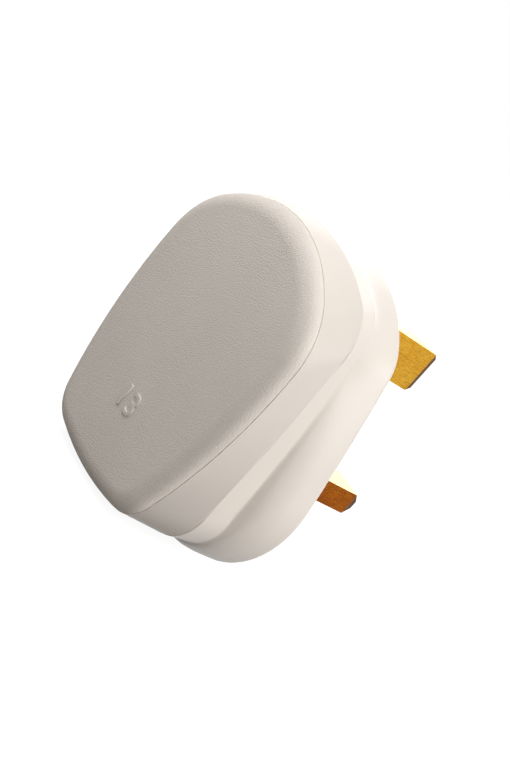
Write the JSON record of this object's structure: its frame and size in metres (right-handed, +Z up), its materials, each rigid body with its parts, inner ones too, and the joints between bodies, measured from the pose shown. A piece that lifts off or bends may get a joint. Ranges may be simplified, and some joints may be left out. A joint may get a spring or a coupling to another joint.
{
  "type": "three pin mains plug",
  "caption": "Rewirable mains plug with a round-ended two part housing, flat brass pins, screw terminals, a cartridge fuse and a cord grip.",
  "frame": {"origin": "on the pin face, midway between the line pin and the neutral pin", "axes": "+Y out of the pin face along the pins, +Z up towards the earth pin, +X to the right seen from behind"},
  "size_m": [0.0484, 0.0447, 0.0532],
  "materials": {
    "base_plastic": "gloss moulded",
    "cover_plastic": "gloss sides, fine matt rear cap",
    "pin_brass": "drawn",
    "terminal_brass": "machined",
    "clip_brass": "pressed spring strip",
    "screw_brass": "turned",
    "screw_steel": "zinc plated",
    "fibre": "vulcanised fibre",
    "grip_fibre": "moulded",
    "fuse_ceramic": "glazed",
    "fuse_nickel": "nickel plated",
    "fuse_wire": "drawn wire"
  },
  "bodies": {
    "root": {"base": "base_plastic", "cover": "cover_plastic", "earth_pin": "pin_brass", "neutral_pin": "pin_brass", "line_pin": "pin_brass", "line_terminal": "terminal_brass", "cover_nut": "terminal_brass", "screw_retainer": "fibre", "cord_grip_bar": "grip_fibre", "cover_screw": "screw_steel", "earth_terminal_screw": "screw_brass", "neutral_terminal_screw": "screw_brass", "line_terminal_screw": "screw_brass", "cord_grip_screw_left": "screw_steel", "cord_grip_screw_right": "screw_steel", "fuse_body": "fuse_ceramic", "fuse_cap_lower": "fuse_nickel", "fuse_cap_upper": "fuse_nickel", "fuse_element": "fuse_wire", "fuse_clip_lower": "clip_brass", "fuse_clip_upper": "clip_brass", "clip_rivet_lower": "clip_brass", "clip_rivet_upper": "clip_brass"}
  },
  "joints": []
}
